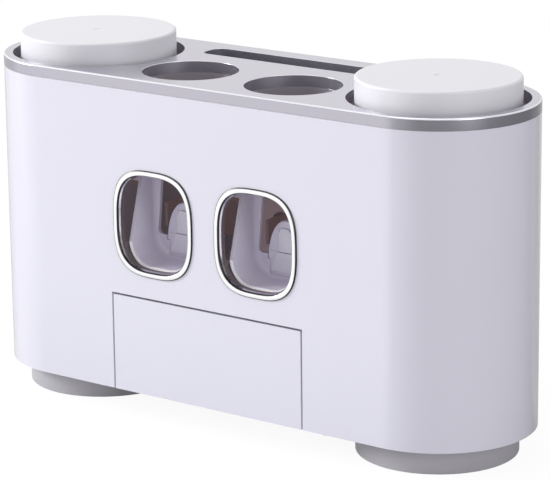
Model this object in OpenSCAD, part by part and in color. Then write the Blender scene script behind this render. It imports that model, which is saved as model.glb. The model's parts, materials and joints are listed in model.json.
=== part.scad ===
/* [Cups] */
// Outer radius of each cup
cup_r = 39.8; // [36:0.2:42]
// Height of each cup
cup_h = 89; // [87:0.5:96]
// Wall of each cup
cup_wall = 2; // [1.4:0.1:3]
// Thickness of each cup's closed end
cup_base_t = 4.4; // [4:0.1:6]
// Rounding of the edge round each closed end
cup_edge_r = 1.2; // [1:0.1:3]
// How far the lower cups stand out below the body
lower_reveal = 13.5; // [8:0.5:20]
// How far the upper cups stand out above the tray
upper_proud = 10.5; // [6:0.5:16]
// Radius of the hold magnets
magnet_r = 8; // [5:0.5:10]
// Thickness of the hold magnets
magnet_t = 2.5; // [1.5:0.1:3]

/* [Cup sleeves] */
// Gap between a cup and the wall of its well
well_gap = 4.1; // [3:0.1:7]
// Wall of the sleeves that hold the cups
sleeve_wall = 1.6; // [1.4:0.1:2.6]
// Gap between a sleeve and the inside of the shell
sleeve_gap = 0.5; // [0.4:0.05:2]
// Thickness of the divider between two cups
divider_t = 6.4; // [5:0.1:9]
// Thickness of the flange under each sleeve
flange_t = 2.4; // [1.6:0.1:4]

/* [Shell] */
// Wall of the outer shell
shell_wall = 2.6; // [2:0.1:3.4]
// Fit gap between pieces that slip into each other
fit_gap = 0.15; // [0.1:0.01:0.25]
// Radius of the screw posts
post_r = 3; // [2.4:0.1:3.6]
// Radius of the screw shanks
screw_r = 1.2; // [0.8:0.05:1.4]
// Radius of the screw heads
screw_head_r = 2.6; // [2:0.1:2.9]
// Thickness of the screw heads
screw_head_t = 1.6; // [1:0.1:2.2]
// Grip of a screw in its post
screw_grip = 6; // [4:0.5:8]
// Height of the screw posts
post_h = 24; // [18:1:28]
// Gap between a screw post and the brush compartment
post_gap = 5.5; // [4:0.1:8]
// Inward step of the base plate's ends from the cup centres
base_step = 24; // [20:1:30]

/* [Tray] */
// Thickness of the tray seen above the shell
tray_t = 6; // [5:0.5:9]
// Rounding of the tray's upper edge
tray_edge_r = 0.9; // [0.8:0.1:2.4]
// Depth of the locating lips under the tray
tray_lip_h = 5; // [3:0.5:8]
// Half length of the locating lips
tray_lip_half = 56; // [40:1:60]
// Thickness of the locating lips
tray_lip_t = 1.6; // [1.2:0.1:2]

/* [Tube holes] */
// Radius of the holes that take the tubes
tube_r = 24; // [21:0.5:26]
// Wall of the tube guides
guide_wall = 1.6; // [1.2:0.1:2.2]
// Ledge where a tube guide begins below the tray
guide_ledge = 0.8; // [0.4:0.1:1.4]
// Gap between the two tube guides
guide_mid_gap = 11.6; // [8:0.1:16]
// Gap between a tube guide and the inside of the shell's front
guide_front_gap = 4; // [3.8:0.05:7]
// Gap between a tube guide and the nearest sleeve
guide_side_gap = 3.3; // [1:0.1:5]
// Outer radius of the inlet seals
seal_r = 11; // [9:0.5:13]
// Bore of the inlet seals
seal_bore_r = 5.5; // [4.5:0.1:7]
// Height of the inlet seals
seal_h = 6; // [5:0.5:8]
// Width of the rim under an inlet seal
seal_rim = 2; // [1.5:0.1:3]
// Flare at the top of a seal's bore
seal_flare = 2.5; // [1.5:0.1:3]
// Thickness of the floor in a tube guide
guide_floor_t = 1.6; // [1.2:0.1:2.4]

/* [Storage slot] */
// Width of the storage slot from front to back
slot_w = 16; // [12:0.1:17]
// Depth of the storage bin below the tray's top
slot_depth = 70; // [40:1:72]
// Gap between the slot and the back of the body
slot_back_gap = 10.95; // [9.8:0.05:12]
// Corner radius of the slot
slot_corner_r = 6; // [3:0.5:8]
// Gap between the bin's ends and the sleeves
slot_end_gap = 6; // [2:0.5:12]
// Wall of the bin
bin_wall = 1.6; // [1.2:0.1:2]

/* [Windows] */
// Width over a window's bezel
bezel_w = 49.5; // [46:0.5:54]
// Height over a window's bezel
bezel_h = 54.4; // [50:0.2:58]
// Width of the bezel's bright face
bezel_band = 3.3; // [2.5:0.1:4]
// How far a bezel stands proud of the shell
bezel_proud = 0.9; // [0.5:0.1:1.5]
// Wall of the bezel's collar inside the window
bezel_collar = 1.5; // [1:0.1:2]
// Depth of the bezel's collar
bezel_depth = 4.2; // [3:0.1:4.6]
// Squareness of the window's outline, 2 for an oval
window_power = 3; // [2.4:0.1:4]
// Gap between the windows and the flap
window_gap = 11.8; // [10.9:0.1:14]

/* [Flap] */
// Height of the front flap
flap_h = 49.4; // [44:0.2:54]
// Thickness of the flap's panel
flap_t = 2.6; // [2:0.1:3.2]
// Gap round the flap
flap_gap = 1; // [0.6:0.1:1.4]
// Distance of the flap's hinge behind its face
hinge_in = 4.6; // [4.4:0.1:5.4]
// Distance of the flap's hinge below its top edge
hinge_down = 4; // [3.4:0.1:4.6]
// Radius of the flap's hinge pins
flap_pin_r = 1.2; // [1:0.05:1.4]
// Length of pin held in the flap
flap_pin_in = 6; // [4:0.5:10]
// Wall of the flap's edge behind its hinge
hinge_wall = 2; // [1.6:0.1:2.4]
// Half width of the flap's finger grip
grip_half = 12; // [8:0.5:20]
// Depth of the finger grip
grip_t = 1.6; // [1:0.1:1.8]
// Height of the finger grip
grip_h = 3; // [2:0.1:4]
// Running clearance round a pin
pin_clear = 0.05; // [0.02:0.01:0.1]

/* [Brush compartment] */
// Depth of the brush compartment
comp_d = 27.5; // [24:0.5:28]
// Wall of the compartment
comp_wall = 2; // [1.6:0.1:2.4]
// Gap between the compartment's ends and the sleeves
comp_end_gap = 1.6; // [0.3:0.1:3]
// Height of the brush rack above the body's lower edge
rack_up = 10; // [6:0.5:16]
// Thickness of the brush rack
rack_t = 3; // [2:0.1:4]
// Number of brush slots
brush_count = 5; // [3:1:5]
// Width of a brush slot
brush_slot_w = 9; // [7:0.5:10]
// Distance between brush slots
brush_pitch = 22; // [18:0.5:24]
// Depth of a brush slot
brush_slot_d = 14; // [10:0.5:16]
// Gap between the rack and the inside of the front
rack_gap = 2.4; // [2:0.1:4]
// Length of the ledges under the rack
ledge_l = 16; // [10:1:18]
// Thickness of the ledges
ledge_t = 2; // [1.5:0.1:3]

/* [Dispensers] */
// Width inside a dispenser's tub
tub_w = 36; // [34:0.5:39]
// Corner radius at the bottom of a tub
tub_corner_r = 12; // [8:0.5:15]
// Depth inside a tub
tub_d = 19.2; // [18.6:0.1:23]
// Wall of a tub
tub_wall = 1.8; // [1.4:0.1:2.2]
// How far a tub's rim sits behind the shell's face
tub_set_back = 5.6; // [4.9:0.1:6.5]
// Lean of the tub's rim towards the top
tub_lean = 16; // [6:1:18]
// Height of a tub's rim that stays upright
tub_upright = 11; // [6:0.5:16]
// Height of a tub's floor above the bezel's lower edge
tub_low = 4; // [3:0.1:6]
// Height of a tub's top above the bezel's upper edge
tub_over = 0.6; // [0.4:0.1:1.2]
// Rim left beside the slots in a tub's back
tub_side_rim = 1.6; // [1.2:0.1:2]
// Thickness of a tub's screw ears
ear_t = 3; // [2.4:0.1:4]
// Distance of the ears behind a tub's rim
ear_set_back = 8.4; // [7:0.1:10]
// Distance of the ears from a tub's top and bottom
ear_inset = 9; // [7:0.1:12]
// Half width of a lever's tongue
lever_half = 11; // [10:0.1:12.2]
// Height of the tongue above its widest line
lever_rise = 20.4; // [17:0.2:22]
// Height of the tongue's widest line above the lever's pivot
lever_root = 6.5; // [5:0.5:8]
// Thickness of a lever's plate
lever_t = 2.6; // [2:0.1:3]
// Radius of a lever's pin
lever_pin_r = 1.5; // [1.2:0.1:1.8]
// Wall of a lever's barrel round its pin
barrel_wall = 1.7; // [1.2:0.1:2]
// Half length of a lever's barrel
barrel_half = 9.2; // [7:0.1:9.6]
// Thickness of the cheeks that hold a lever's pin
cheek_t = 3; // [2:0.1:4]
// Reach of a lever's knob behind its plate
knob_reach = 4.4; // [4:0.1:5]
// Height of the knob above the tongue's widest line
knob_rise = 12.5; // [11:0.1:13]
// Half thickness of the ribs on a tongue
rib_half = 0.6; // [0.4:0.1:1]
// How far the ribs stand proud of a tongue
rib_proud = 0.8; // [0.4:0.1:1.2]
// Half length of the rib across a tongue
rib_cross = 5; // [3:0.5:7]
// Distance of the ribs from a tongue's widest line and top
rib_inset = 4; // [3:0.5:6]
// Outer radius of a pump's bellows
bellows_r = 8; // [7:0.1:8.4]
// Length of a pump's bellows
bellows_l = 11; // [10:0.5:13]
// Radius of a plunger's stem
stem_r = 3; // [2.4:0.1:3.4]
// Length of stem in front of its bridge
stem_free = 4.2; // [3.6:0.1:5]
// Thickness of the bridge that guides a plunger
bridge_t = 2.5; // [2:0.1:3]
// Thickness of a plunger's head
head_t = 2; // [1.5:0.1:3]
// Gap round a plunger's head in the pump block
head_gap = 1.2; // [0.8:0.1:1.6]
// Wall of the pump block's cheeks
block_wall = 1.6; // [1.2:0.1:2]
// Half height of the pump block's cheeks
block_cheek = 6; // [5:0.5:8]
// Radius of the return spring's coil
spring_r = 9.8; // [9.4:0.1:10.4]
// Thickness of the return spring's wire
spring_wire = 0.9; // [0.6:0.1:1]
// Turns of the return spring
spring_turns = 5; // [4:1:6]
// Radius of the paste channel
channel_r = 2; // [1.5:0.1:2.4]
// Outer radius of an outlet nozzle
nozzle_r = 4.2; // [3.6:0.1:5]
// Distance of an outlet nozzle in front of the tub's back
nozzle_in = 5; // [5:0.1:11]
// Length of an outlet nozzle
nozzle_drop = 8; // [7:0.5:12]
// Depth of the seat that holds a nozzle or a valve
nozzle_seat = 1; // [0.6:0.1:1.4]
// Thickness of an inlet valve
valve_t = 1.2; // [0.8:0.1:1.6]
// Depth of the seat that holds an inlet valve
valve_seat = 2; // [1.6:0.1:2.4]

/* [Wall plate] */
// Width of the wall plate
plate_w = 76; // [70:1:80]
// Height of the wall plate
plate_h = 44; // [40:1:46]
// Thickness of the wall plate
plate_t = 3.2; // [2.5:0.1:3.6]
// Thickness of the adhesive strips
tape_t = 1; // [0.8:0.1:1.4]
// Drop that hooks the body on to its wall plate
hook_drop = 12; // [11:0.5:14]
// Distance between the hooks
hook_pitch = 36; // [32:1:38]
// Radius of a hook's neck
hook_neck_r = 2.5; // [2:0.1:3]
// Radius of a hook's head
hook_head_r = 5; // [4.4:0.1:5.4]
// Thickness of a hook's head
hook_head_t = 2; // [1.5:0.1:2.4]
// Distance of the hooks below the plate's top
hook_down = 11; // [9:0.5:12]
// Room above and below the plate in its recess
plate_room = 2; // [1:0.1:3]
// Room on either side of the plate in its recess
plate_side_room = 4; // [2:0.5:5]
// Distance between the wall screws across
wall_screw_dx = 60; // [56:1:66]
// Distance between the wall screws up and down
wall_screw_dz = 30; // [24:1:34]
// Radius of the wall screw holes
wall_screw_r = 2.25; // [1.8:0.05:2.6]

/* [Hidden] */
$fn = 96;
eps = 0.01;
slack = 0.3;
gap = 0.4;
slot_run = 120;

shell_in = cup_r + well_gap + sleeve_wall + sleeve_gap;
well_r = cup_r + well_gap;
sleeve_r = well_r + sleeve_wall;
body_r = shell_in + shell_wall;
flange_r = shell_in - fit_gap;

guide_in = tube_r - guide_ledge;
guide_r = tube_r + guide_wall;
tube_x = guide_r + guide_mid_gap / 2;
tube_y = guide_front_gap + guide_r - shell_in;
cup_x = tube_x + sqrt(pow(guide_r + sleeve_r + guide_side_gap, 2) - pow(tube_y, 2));

divider_z = cup_h + 0.2;
upper_z = divider_z + divider_t;
top_z = upper_z + cup_h;
tray_z = top_z - upper_proud;
shell_top = tray_z - tray_t;
body_z = lower_reveal;

flap_top = body_z + flap_h;
window_z = flap_top + window_gap + bezel_h / 2;
hinge_y = hinge_in - body_r;
hinge_z = flap_top - hinge_down;
hinge_sweep = sqrt(pow(hinge_in, 2) + pow(hinge_down + flap_gap, 2));

comp_back = comp_d - shell_in;
comp_half = cup_x - sqrt(pow(sleeve_r, 2) - pow(comp_back, 2)) - comp_end_gap;
comp_in = comp_half - comp_wall;
comp_top = hinge_z + hinge_sweep + fit_gap + comp_wall;
flap_half = comp_in - flap_gap - fit_gap;
rack_z = body_z + rack_up;

slot_y = body_r - slot_back_gap - slot_w / 2;
slot_front = slot_y - slot_w / 2 - bin_wall;
slot_half = cup_x - sqrt(pow(sleeve_r, 2) - pow(slot_front, 2)) - bin_wall - slot_end_gap;
bin_z = tray_z - slot_depth;

tub_half = tub_w / 2;
tub_front = tub_set_back - body_r;
tub_back = tub_front + tub_d;
tub_z = window_z - bezel_h / 2 + tub_low;
tub_top = window_z + bezel_h / 2 + tub_over;
tub_out = tub_half + tub_wall;
ear_y = tub_front + ear_set_back;
ear_x = tub_out + post_r + fit_gap;
ear_zs = [tub_z + ear_inset, tub_top - ear_inset];
ear_half = post_r + gap;

pivot_y = tub_back + tub_wall + lever_pin_r + 2 * slack;
pivot_z = tub_z + lever_t;
barrel_r = lever_pin_r + barrel_wall;
cheek_x = barrel_half + gap + cheek_t / 2;
tongue_z = pivot_z + lever_root;
tongue_top = tongue_z + lever_rise;
tongue_y = tub_back;
push_z = tongue_z + knob_rise;
push_y = tongue_y + lever_t + knob_reach;
knob_r = stem_r;
cross_r = channel_r - gap;
plunger_y = push_y + 0.2;
bridge_y = plunger_y + stem_free;
head_y = bridge_y + bridge_t + slack;
head_r = spring_r + spring_wire;
bellows_y = head_y + head_t;
seat_y = bellows_y + bellows_l;
block_half = head_r + head_gap + block_wall;
block_wall_x = block_half - block_wall / 2;
block_t = 2 * channel_r + 3;
channel_y = seat_y + block_t / 2;
arm_h = 2 * channel_r + 3;
arm_z = tub_top + 0.2;
arm_top = arm_z + arm_h;
arm_mid = arm_z + arm_h / 2;
arm_half = nozzle_r + 2.4;
nozzle_y = tub_back - nozzle_in;
guide_z = arm_top + seal_rim;

pocket_half = plate_w / 2 + plate_side_room;
plate_out = body_r + bezel_proud - tape_t;
plate_in = plate_out - plate_t;
pocket_y = plate_in - screw_head_t - 0.5;
pocket_in = pocket_y - shell_wall;
pocket_top = bin_z - slack - shell_wall - 1;
plate_top = pocket_top - plate_room;
plate_z = plate_top - plate_h;
pocket_z = plate_z - hook_drop - plate_room;
hook_z = plate_top - hook_down;
wall_screw_z = plate_z + plate_h / 2;

base_half = cup_x - base_step;
post_x = comp_half + post_r + post_gap;
post_y = shell_in - post_r - gap;
post_z = body_z + flange_t;
lip_y = shell_in - fit_gap - tray_lip_t / 2;
comp_wall_x = comp_half - comp_wall / 2;
flap_pin_mid = (comp_half + flap_half - flap_pin_in) / 2;
flap_pin_half = (comp_half - flap_half + flap_pin_in) / 2;
bellows_wall = 1.2;
bellows_fold = 1.6;

// Outline with two straight sides and round ends about the cup centres
module stadium(r) {
    translate([-cup_x, -r]) square([2 * cup_x, 2 * r]);
    for (side = [-1, 1]) translate([side * cup_x, 0]) circle(r);
}

// Points of a rounded window outline
function window_points(half_w, half_h, power, count) = [for (i = [0 : count - 1])
    let (t = 360 * i / count, c = cos(t), s = sin(t))
    [half_w * sign(c) * pow(abs(c), 2 / power), half_h * sign(s) * pow(abs(s), 2 / power)]];

// Window outline as a prism that runs from front to back
module window_prism(half_w, half_h, y_front, y_back) {
    translate([0, y_back, window_z])
        rotate([90, 0, 0])
            linear_extrude(y_back - y_front)
                polygon(window_points(half_w, half_h, window_power, 72));
}

// Rectangle with round corners
module round_rect(half_x, half_y, r) {
    square([2 * (half_x - r), 2 * half_y], center = true);
    square([2 * half_x, 2 * (half_y - r)], center = true);
    for (x = [-1, 1]) for (y = [-1, 1])
        translate([x * (half_x - r), y * (half_y - r)]) circle(r);
}

// Cylinder that runs from front to back
module rod_y(r, y_front, y_back) {
    translate([0, y_back, 0]) rotate([90, 0, 0]) cylinder(r = r, h = y_back - y_front);
}

// Cylinder that runs from left to right
module rod_x(r, x_left, x_right) {
    translate([x_left, 0, 0]) rotate([0, 90, 0]) cylinder(r = r, h = x_right - x_left);
}

// Box between two corners
module box(low, high) {
    translate(low) cube(high - low);
}

// Screw with its head at the origin's plane and its shank pointing down
module screw() {
    cylinder(r = screw_head_r, h = screw_head_t);
    translate([0, 0, -screw_grip - flange_t]) cylinder(r = screw_r, h = screw_grip + flange_t + eps);
}

module keyhole(x) {
    translate([x, 0, hook_z]) rod_y(hook_neck_r + slack, pocket_in - 1, pocket_y + 1);
    box([x - hook_neck_r - slack, pocket_in - 1, hook_z - hook_drop],
        [x + hook_neck_r + slack, pocket_y + 1, hook_z]);
    translate([x, 0, hook_z - hook_drop]) rod_y(hook_head_r + 2 * slack, pocket_in - 1, pocket_y + 1);
}

module outer_shell() {
    color("#e9e8f1") difference() {
        union() {
            translate([0, 0, body_z]) linear_extrude(shell_top - body_z) difference() {
                stadium(body_r);
                stadium(shell_in);
            }
            box([-pocket_half - shell_wall, pocket_in, pocket_z - shell_wall],
                [pocket_half + shell_wall, shell_in + 1, pocket_top + shell_wall]);
            for (x = [-1, 1]) for (y = [-1, 1]) {
                translate([x * post_x, y * post_y, post_z]) cylinder(r = post_r, h = post_h);
                box([x * post_x - post_r / 2, min(y * post_y, y * (shell_in + 1)), post_z],
                    [x * post_x + post_r / 2, max(y * post_y, y * (shell_in + 1)), post_z + post_h]);
            }
            for (side = [-1, 1]) for (x = [-1, 1]) for (z = ear_zs)
                translate([side * tube_x + x * ear_x, 0, z]) rod_y(post_r, -shell_in - 1, ear_y);
        }
        for (side = [-1, 1]) translate([side * tube_x, 0, 0])
            window_prism(bezel_w / 2 - bezel_band + bezel_collar + fit_gap,
                bezel_h / 2 - bezel_band + bezel_collar + fit_gap,
                -body_r - 1, max(-shell_in, -body_r + bezel_depth) + gap);
        box([-flap_half - flap_gap, -body_r - 1, body_z - 1],
            [flap_half + flap_gap, -shell_in + 1, hinge_z]);
        translate([0, hinge_y, hinge_z])
            rod_x(hinge_sweep, -flap_half - flap_gap, flap_half + flap_gap);
        box([-pocket_half, pocket_y, pocket_z], [pocket_half, body_r + 1, pocket_top]);
        keyhole(-hook_pitch / 2);
        keyhole(hook_pitch / 2);
        for (x = [-1, 1]) for (y = [-1, 1])
            translate([x * post_x, y * post_y, body_z + flange_t - 1])
                cylinder(r = screw_r, h = screw_grip + 2);
        for (side = [-1, 1]) for (x = [-1, 1]) for (z = ear_zs)
            translate([side * tube_x + x * ear_x, 0, z])
                rod_y(screw_r, ear_y - screw_grip - 0.5, ear_y + 1);
    }
}

// Half of the tray's section, from its middle out to the rounded upper edge
module tray_section() {
    square([body_r, tray_t - tray_edge_r]);
    square([body_r - tray_edge_r, tray_t]);
    translate([body_r - tray_edge_r, tray_t - tray_edge_r]) circle(tray_edge_r, $fn = 48);
}

module top_tray() {
    color("#b9bac0") difference() {
        union() {
            translate([0, 0, shell_top]) for (side = [-1, 1]) {
                translate([side * cup_x, 0, 0]) rotate_extrude($fn = 128) tray_section();
                rotate([90, 0, 90 * side])
                    translate([0, 0, -cup_x]) linear_extrude(2 * cup_x) tray_section();
            }
            for (side = [-1, 1])
                box([-tray_lip_half, side * lip_y - tray_lip_t / 2, shell_top - tray_lip_h],
                    [tray_lip_half, side * lip_y + tray_lip_t / 2, shell_top + 1]);
        }
        for (side = [-1, 1]) {
            translate([side * cup_x, 0, shell_top - 1]) cylinder(r = well_r, h = tray_t + 2, $fn = 128);
            translate([side * tube_x, tube_y, shell_top - 1]) cylinder(r = tube_r, h = tray_t + 2);
        }
        translate([0, slot_y, shell_top - 1]) linear_extrude(tray_t + 2)
            round_rect(slot_half, slot_w / 2, slot_corner_r);
    }
}

module base_plate() {
    color("#d8d8de") difference() {
        translate([0, 0, body_z]) linear_extrude(flange_t) difference() {
            intersection() {
                stadium(flange_r);
                translate([-base_half, comp_back + fit_gap]) square([2 * base_half, 2 * flange_r]);
            }
            for (side = [-1, 1]) translate([side * cup_x, 0]) circle(flange_r + fit_gap);
        }
        for (x = [-1, 1]) for (y = [-1, 1])
            translate([x * post_x, y * post_y, body_z - 1])
                cylinder(r = screw_r + pin_clear, h = flange_t + 2);
    }
}

module cup_sleeve(side) {
    color("#a9aab2") translate([side * cup_x, 0, 0]) difference() {
        union() {
            translate([0, 0, body_z]) cylinder(r = sleeve_r, h = shell_top - body_z, $fn = 128);
            translate([0, 0, body_z]) cylinder(r = flange_r, h = flange_t, $fn = 128);
            translate([-side * cup_x, 0, body_z])
                box([min(side * (comp_half + fit_gap), side * cup_x), -flange_r, 0],
                    [max(side * (comp_half + fit_gap), side * cup_x), comp_back, flange_t]);
        }
        translate([side * (post_x - cup_x), -post_y, body_z - 1])
            cylinder(r = screw_r + pin_clear, h = flange_t + 2);
        translate([0, 0, body_z - 1]) cylinder(r = well_r, h = divider_z - body_z + 1, $fn = 128);
        translate([0, 0, upper_z]) cylinder(r = well_r, h = tray_z, $fn = 128);
        translate([0, 0, divider_z - 1]) cylinder(r = magnet_r + fit_gap, h = magnet_t + 1);
        translate([-side * cup_x, 0, 0])
            box([-comp_half - fit_gap, -flange_r - 1, body_z - 1],
                [comp_half + fit_gap, comp_back + fit_gap, body_z + flange_t + 1]);
    }
}

module divider_magnet(side) {
    color("#6e7074") translate([side * cup_x, 0, divider_z]) cylinder(r = magnet_r, h = magnet_t);
}

module window_bezel(side) {
    half_w = bezel_w / 2 - bezel_band;
    half_h = bezel_h / 2 - bezel_band;
    color("silver") translate([side * tube_x, 0, 0]) difference() {
        union() {
            window_prism(bezel_w / 2, bezel_h / 2, -body_r - bezel_proud, -body_r);
            window_prism(half_w + bezel_collar, half_h + bezel_collar, -body_r - eps, -body_r + bezel_depth);
        }
        window_prism(half_w, half_h, -body_r - bezel_proud - 1, -body_r + bezel_depth + 1);
    }
}

// Outline of a tub seen from the front, open at the top
module tub_outline(grow, z_top) {
    half = tub_half + grow;
    r = tub_corner_r + grow;
    translate([-half, tub_z + tub_corner_r]) square([2 * half, z_top - tub_z - tub_corner_r]);
    translate([-half + r, tub_z - grow]) square([2 * (half - r), tub_corner_r + grow + 1]);
    for (x = [-1, 1]) translate([x * (half - r), tub_z + tub_corner_r]) circle(r);
}

module tub_prism(grow, y_front, y_back, z_top) {
    translate([0, y_back, 0]) rotate([90, 0, 0]) linear_extrude(y_back - y_front) tub_outline(grow, z_top);
}

module dispenser_tub(side) {
    slot_end_r = (tub_half - tub_side_rim - lever_half) / 2;
    slot_z = tongue_z + rib_inset + 1;
    color("#cfcad8") translate([side * tube_x, 0, 0]) difference() {
        union() {
            tub_prism(tub_wall, tub_front, tub_back + tub_wall, tub_top);
            for (x = [-1, 1]) for (z = ear_zs)
                box([x * ear_x - ear_half, ear_y, z - ear_half],
                    [x * ear_x + ear_half, ear_y + ear_t, z + ear_half]);
            for (x = [-1, 1])
                box([x * cheek_x - cheek_t / 2, tub_back + 1, pivot_z - barrel_r - gap],
                    [x * cheek_x + cheek_t / 2, pivot_y + barrel_r + gap, pivot_z + barrel_r + gap]);
        }
        tub_prism(0, tub_front - 1, tub_back, tub_top - tub_wall);
        translate([0, tub_front, tub_z + tub_upright]) rotate([-tub_lean, 0, 0])
            box([-tub_out - eps, -20, 0], [tub_out + eps, 0, slot_run]);
        box([tub_side_rim - tub_half, tub_back - 1, slot_z],
            [tub_half - tub_side_rim, tub_back + tub_wall + 1, tongue_top + 7]);
        for (x = [-1, 1]) translate([x * (lever_half + slot_end_r), 0, slot_z])
            rod_y(slot_end_r, tub_back - 1, tub_back + tub_wall + 1);
        box([-lever_half - gap, tub_back - 1, tongue_z - gap],
            [lever_half + gap, tub_back + tub_wall + 1, slot_z + 1]);
        box([-barrel_half - gap, tub_back - 1, pivot_z - barrel_r - 0.5],
            [barrel_half + gap, tub_back + tub_wall + 1, tongue_z]);
        translate([0, pivot_y, pivot_z]) rod_x(lever_pin_r, -tub_half, tub_half);
        for (x = [-1, 1]) for (z = ear_zs)
            translate([x * ear_x, 0, z]) rod_y(screw_r + pin_clear, ear_y - 1, ear_y + ear_t + 1);
        translate([0, nozzle_y, tub_top - tub_wall - 1]) cylinder(r = nozzle_r + fit_gap, h = tub_wall + 2);
    }
}

module pump_block(side) {
    low = push_z - block_half;
    color("#dcdce2") translate([side * tube_x, 0, 0]) difference() {
        union() {
            box([-block_half, seat_y, low], [block_half, seat_y + block_t, push_z + block_half]);
            box([-arm_half, seat_y, push_z], [arm_half, seat_y + block_t, arm_top]);
            box([-arm_half, nozzle_y - nozzle_r - 2, arm_z], [arm_half, seat_y + block_t, arm_top]);
            for (x = [-1, 1])
                box([x * block_wall_x - block_wall / 2, tub_back + tub_wall, push_z - block_cheek],
                    [x * block_wall_x + block_wall / 2, seat_y + 1, push_z + block_cheek]);
            box([-block_half, bridge_y, push_z - block_cheek],
                [block_half, bridge_y + bridge_t, push_z + block_cheek]);
        }
        translate([0, 0, push_z]) rod_y(stem_r + pin_clear, bridge_y - 1, bridge_y + bridge_t + 1);
        translate([0, 0, push_z]) rod_y(cross_r, seat_y - 1, channel_y);
        translate([0, channel_y, push_z - cross_r])
            cylinder(r = channel_r, h = arm_mid - push_z + 2 * cross_r);
        translate([0, 0, arm_mid]) rod_y(cross_r, nozzle_y, channel_y);
        translate([0, tube_y, arm_mid]) cylinder(r = channel_r, h = arm_h);
        translate([0, tube_y, arm_top - valve_seat])
            cylinder(r = 2 * channel_r + fit_gap, h = valve_seat + 1);
        translate([0, nozzle_y, arm_z - 1]) cylinder(r = nozzle_r, h = 1 + nozzle_seat);
        translate([0, nozzle_y, arm_z]) cylinder(r = channel_r, h = arm_h / 2 + cross_r);
    }
}

module outlet_nozzle(side) {
    color("#e4e3ea") translate([side * tube_x, nozzle_y, 0]) difference() {
        union() {
            translate([0, 0, arm_z + nozzle_seat - nozzle_drop]) cylinder(r = nozzle_r, h = nozzle_drop);
            translate([0, 0, arm_z - nozzle_drop - 1])
                cylinder(r1 = nozzle_r - 1, r2 = nozzle_r, h = 1 + nozzle_seat + eps);
        }
        translate([0, 0, arm_z - nozzle_drop - 2]) cylinder(r = channel_r, h = nozzle_drop + 4);
    }
}

module inlet_valve(side) {
    color("#f2efe6") translate([side * tube_x, tube_y, arm_top - valve_seat]) difference() {
        cylinder(r = 2 * channel_r, h = valve_t);
        translate([0, 0, -1]) cylinder(r = channel_r / 2, h = 3);
    }
}

module inlet_seal(side) {
    color("#8b8d93") translate([side * tube_x, tube_y, arm_top]) difference() {
        union() {
            cylinder(r = seal_r, h = seal_h);
            cylinder(r = seal_r + seal_rim, h = guide_z - arm_top - fit_gap);
        }
        translate([0, 0, -1]) cylinder(r = seal_bore_r, h = seal_h + 2);
        translate([0, 0, seal_h - seal_flare])
            cylinder(r1 = seal_bore_r, r2 = seal_bore_r + seal_flare, h = seal_flare + eps);
    }
}

module tube_guide(side) {
    color("#a9aab2") translate([side * tube_x, tube_y, guide_z]) difference() {
        cylinder(r = guide_r, h = shell_top - guide_z);
        translate([0, 0, guide_floor_t]) cylinder(r = guide_in, h = tray_z);
        translate([0, 0, -1]) cylinder(r = seal_r + fit_gap, h = guide_floor_t + 2);
    }
}

// Folded wall of the pump's bellows, three folds long
function bellows_points(r_out, length) =
    [for (i = [0 : 6]) [i % 2 == 0 ? r_out : r_out - bellows_fold, length * i / 6]];

module pump_bellows(side) {
    outer = bellows_points(bellows_r, bellows_l);
    inner = bellows_points(bellows_r - bellows_wall, bellows_l);
    floor_points = [[bellows_r - bellows_wall, bellows_wall], [0, bellows_wall], [0, 0]];
    color("#efe9dc") translate([side * tube_x, bellows_y, push_z]) rotate([-90, 0, 0])
        rotate_extrude($fn = 64)
            polygon(concat(outer, [for (i = [6 : -1 : 1]) inner[i]], floor_points));
}

// One unbroken helical tube, a ring of points at every eighth of a turn
module coil(r, wire_r, length, turns) {
    rings = 8 * turns;
    sides = 6;
    points = [for (i = [0 : rings]) for (j = [0 : sides - 1])
        let (t = 45 * i, a = 60 * j, out = r + wire_r * cos(a))
        [out * cos(t), out * sin(t), length * i / rings + wire_r * sin(a)]];
    walls = [for (i = [0 : rings - 1]) for (j = [0 : sides - 1])
        let (a = i * sides + j, b = i * sides + (j + 1) % sides)
        each [[a, b, a + sides], [b, b + sides, a + sides]]];
    ends = [for (j = [1 : sides - 2]) each [[0, j + 1, j],
        [rings * sides, rings * sides + j, rings * sides + j + 1]]];
    polyhedron(points, concat(walls, ends));
}

module return_spring(side) {
    wire_r = spring_wire / 2;
    color("#9a9ca2") translate([side * tube_x, bellows_y + wire_r + 0.1, push_z]) rotate([-90, 0, 0])
        coil(spring_r, wire_r, bellows_l - spring_wire - 0.2, spring_turns);
}

module lever_pin(side) {
    color("#8f9196") translate([side * tube_x, pivot_y, pivot_z])
        rod_x(lever_pin_r, -cheek_x - cheek_t / 2, cheek_x + cheek_t / 2);
}

module storage_bin() {
    color("#b9bac0") difference() {
        translate([0, slot_y, bin_z]) linear_extrude(shell_top - bin_z)
            round_rect(slot_half + bin_wall, slot_w / 2 + bin_wall, slot_corner_r + bin_wall);
        translate([0, slot_y, bin_z + bin_wall]) linear_extrude(slot_run)
            round_rect(slot_half, slot_w / 2, slot_corner_r);
    }
}

module brush_compartment() {
    color("#d8d8de") difference() {
        union() {
            box([-comp_half, comp_back - comp_wall, body_z], [comp_half, comp_back, comp_top]);
            box([-comp_half, fit_gap - shell_in, comp_top - comp_wall], [comp_half, comp_back, comp_top]);
            for (side = [-1, 1]) {
                box([side * comp_wall_x - comp_wall / 2, fit_gap - shell_in, body_z],
                    [side * comp_wall_x + comp_wall / 2, comp_back, comp_top]);
                box([side * (comp_in - 1) - 1 - eps, comp_back - comp_wall - ledge_l, rack_z - ledge_t],
                    [side * (comp_in - 1) + 1 + eps, comp_back - comp_wall + eps, rack_z]);
            }
        }
        translate([0, hinge_y, hinge_z]) rod_x(flap_pin_r, -comp_half - 1, comp_half + 1);
    }
}

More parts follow.
